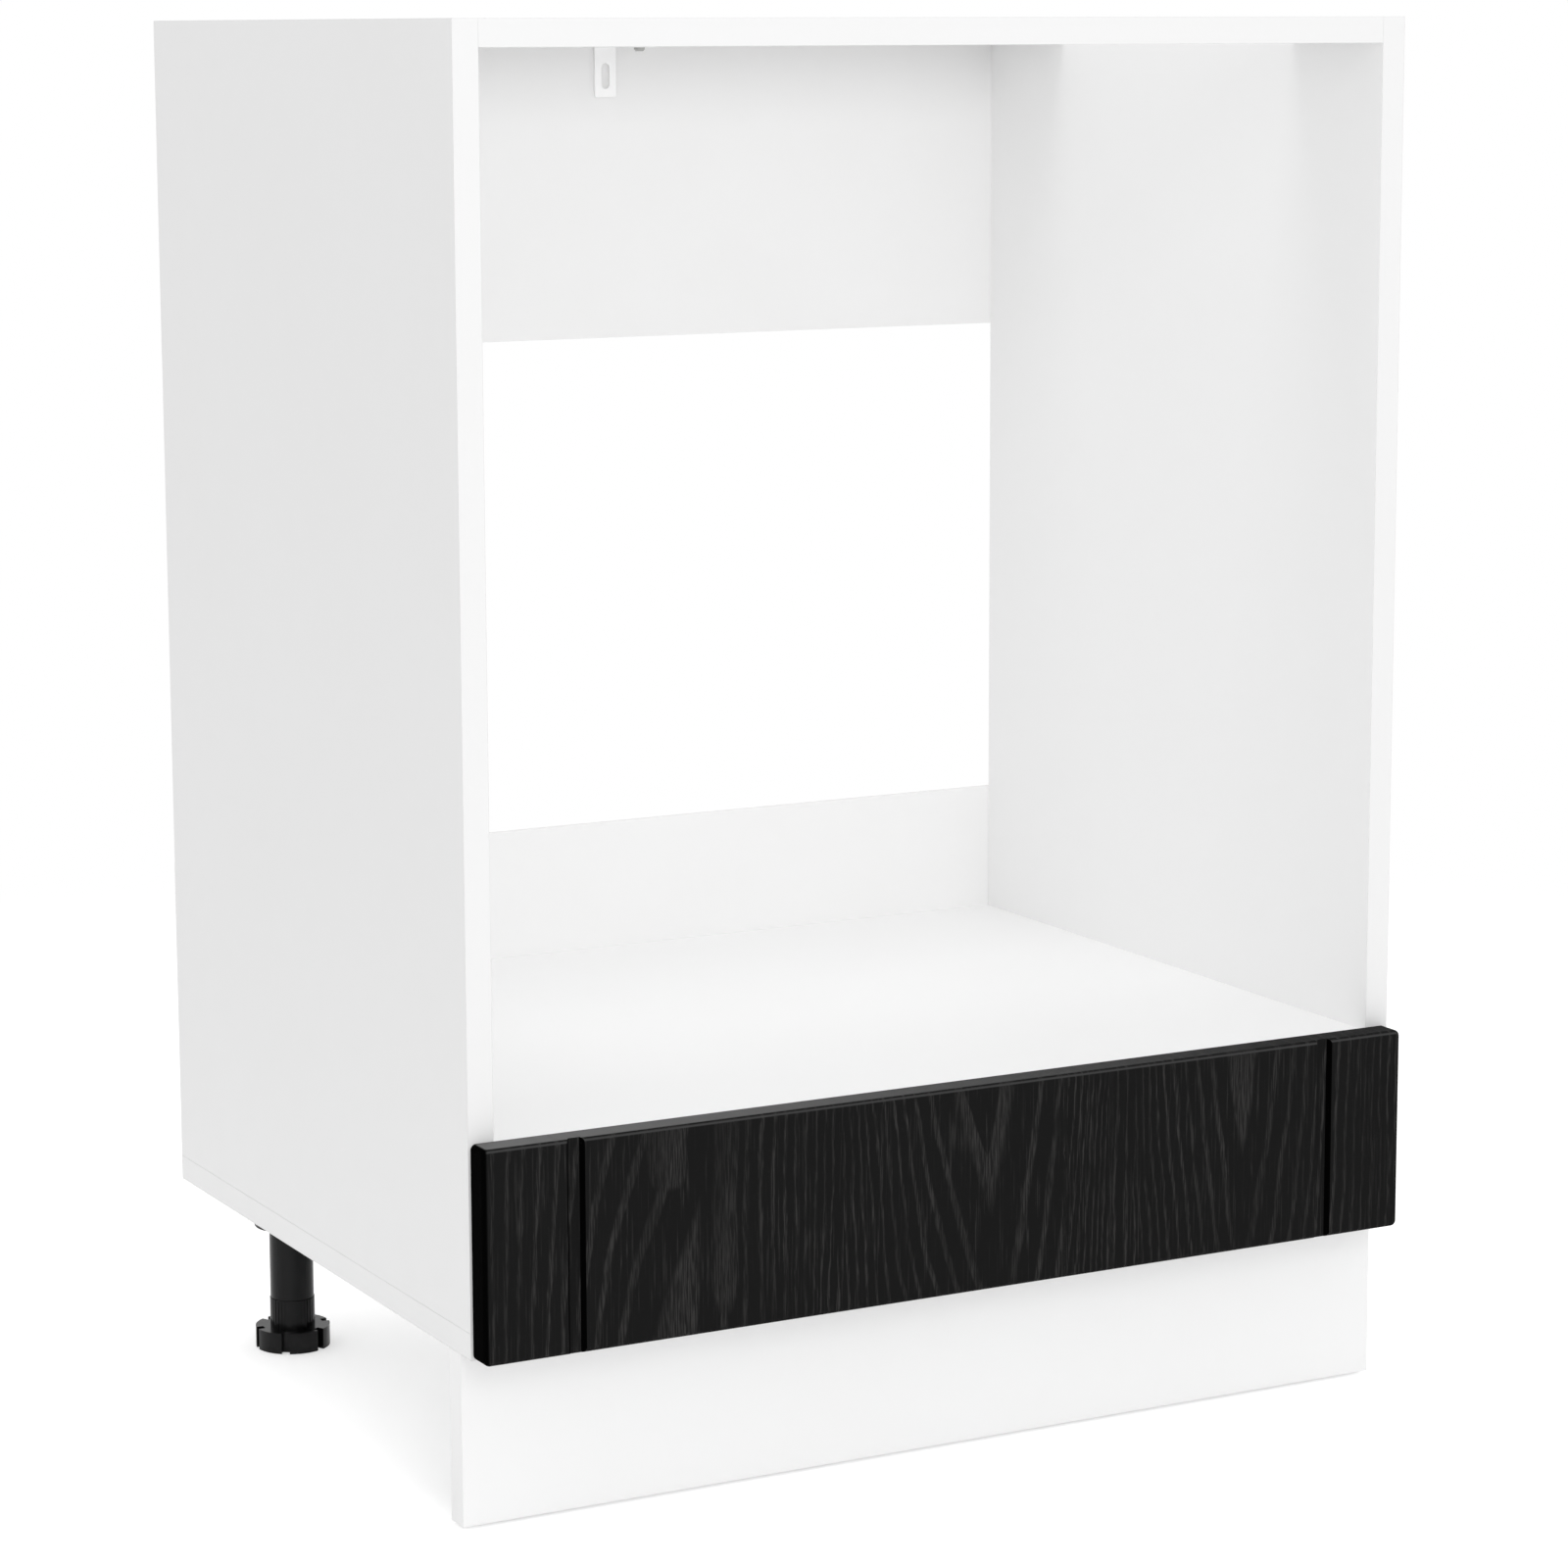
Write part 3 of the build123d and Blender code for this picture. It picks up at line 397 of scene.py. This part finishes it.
sides = ("left", "right")
corners = ("front_left", "front_right", "rear_left", "rear_right")
looks = [
    (
        melamine("board_white", board_shade),
        ["top_rail_front", "top_rail_rear", "drawer_side_left", "drawer_side_right", "drawer_back"],
    ),
    # The plinth's lighter shade is painted light.
    (melamine("board_white_plinth", plinth_shade_painted_light), ["plinth_board"]),
    (melamine("board_white_raw_rear", board_shade, raw_rear=True), ["side_panel_left"]),
    # The right side's lighter inner face is painted light.
    (
        melamine("board_white_right", board_shade, raw_rear=True, left_face_painted_light=right_inner_shade_painted_light),
        ["side_panel_right"],
    ),
    # The shelf's lighter shade is painted light.
    (melamine("board_white_shelf", shelf_shade_painted_light, raw_rear=True), ["oven_shelf"]),
    (
        melamine("board_white_base", bottom_shade, raw_rear=True, radius=bottom_banding_radius),
        ["bottom_panel"],
    # The back boards' shade is their own colour, raised further as painted light.
    ),
    (
        hardboard("hardboard_white", hardboard_shade_with_painted_light),
        ["back_board_upper", "back_board_lower", "drawer_bottom"],
    ),
    (black_oak("front_black"), ["drawer_front"]),
    (
        plastic("plastic_black", (0.006, 0.006, 0.0063), 0.18, 0.26, specular=0.16),
        each(("leg_socket", "leg_tube", "levelling_foot"), corners),
    ),
    (plastic("plastic_grey", (0.50, 0.51, 0.52), 0.36, 0.46), each(("plinth_clip",), sides)),
    (
        plastic("nylon_white", (0.78, 0.78, 0.75), 0.30, 0.40),
        each(("front_roller", "rear_roller"), sides),
    ),
    (
        metal("zinc_bright", (0.66, 0.67, 0.66), 0.24, 0.40),
        [
            "back_nails", "cam_bolts", "bottom_screws", "plinth_clip_screws", "leg_socket_screws",
            "cabinet_runner_screws", "drawer_runner_screws", "drawer_cam_bolts",
            "drawer_back_screws", "drawer_base_nails", "front_roller_pins", "rear_roller_pins",
        ],
    ),
    (
        metal("zinc_cast", (0.48, 0.48, 0.47), 0.42, 0.58),
        ["cam_locks", "drawer_cams", "wall_bracket_screw"],
    ),
    (powder("coat_white", runner_shade), each(("cabinet_runner", "drawer_runner"), sides)),
    (powder("coat_bright", bracket_shade, metallic=0.7), ["wall_bracket"]),
    (beech("beech_plain"), ["dowels", "drawer_dowels"]),
]
for material, names in looks:
    for name in names:
        mesh = nodes[name].data
        mesh.materials.clear()
        mesh.materials.append(material)

# Floor: pale round the object, so that it keeps the shadow, and plain white further out
floor_width = 40
floor_drop = 0.0002
floor_glow = 0.45
pale_radius = 0.50
white_radius = 1.70
bpy.ops.mesh.primitive_plane_add(size=floor_width, location=(0, 0, -floor_drop))
floor = bpy.context.object
floor.name = "studio_floor"
pale = Shader("floor_pale")
distance = pale.node("ShaderNodeVectorMath", operation="LENGTH")
pale.link(pale.place, distance.inputs[0])
far = pale.span(distance.outputs["Value"], pale_radius, white_radius, smooth=True)
seen = seen_rays(pale.tree)
speckle = pale.mix(pale.noise(30), grey(floor_shade - 1), grey(floor_shade + 1))
pale.finish(speckle, 0.9, Specular_IOR_Level=0.0)
lit = pale.node("ShaderNodeAddShader")
pale.link(pale.surface.outputs["BSDF"], lit.inputs[0])
pale.link(pale.glow(pale.mix(seen, black, white), floor_glow), lit.inputs[1])
blend = pale.node("ShaderNodeMixShader")
pale.link(pale.times(far, seen), blend.inputs["Fac"])
pale.link(lit.outputs["Shader"], blend.inputs[1])
pale.link(pale.glow(white, 1.0), blend.inputs[2])
pale.link(blend.outputs["Shader"], pale.tree.nodes["Material Output"].inputs["Surface"])
floor.data.materials.append(pale.material)

# World: even soft light, and a white backdrop where it is seen
soft_strength = 0.79
world = bpy.data.worlds.new("studio")
world.use_nodes = True
tree = world.node_tree
backdrop = tree.nodes["Background"]
soft = tree.nodes.new("ShaderNodeBackground")
for background, strength in ((backdrop, 1.0), (soft, soft_strength)):
    background.inputs["Color"].default_value = white
    background.inputs["Strength"].default_value = strength
join = tree.nodes.new("ShaderNodeMixShader")
tree.links.new(seen_rays(tree), join.inputs["Fac"])
tree.links.new(soft.outputs["Background"], join.inputs[1])
tree.links.new(backdrop.outputs["Background"], join.inputs[2])
tree.links.new(join.outputs["Shader"], tree.nodes["World Output"].inputs["Surface"])
scene = bpy.context.scene
scene.world = world


def lamp(name, place, target, size, power):
    """Square soft box at a place, turned to a target."""
    light = bpy.data.lights.new(name, "AREA")
    light.shape = "SQUARE"
    light.size = size
    light.energy = power
    box = bpy.data.objects.new(name, light)
    box.location = place
    box.rotation_euler = (Vector(target) - Vector(place)).to_track_quat("-Z", "Y").to_euler()
    scene.collection.objects.link(box)


lamp("front_box", place=(-0.5, -3.4, 1.7), target=(0, 0, 0.45), size=2.0, power=26)
lamp("top_box", place=(-0.28, -0.03, 2.2), target=(0.1, 0, 0.4), size=0.7, power=5)

# Camera fitted to the photograph's straight edges, with its angles in degrees
look_down = 9.06
look_right = 28.106
roll = 0.18
camera_data = bpy.data.cameras.new("view")
camera_data.sensor_width = 36
camera_data.lens = 101.87
camera_data.shift_y = -0.03
camera = bpy.data.objects.new("view", camera_data)
camera.location = (-1.2375, -2.3318, 0.8087)
camera.rotation_mode = "XYZ"
camera.rotation_euler = [math.radians(angle) for angle in (90 - look_down, roll, -look_right)]
scene.collection.objects.link(camera)
bpy.context.scene.camera = camera
scene.view_settings.view_transform = "Standard"
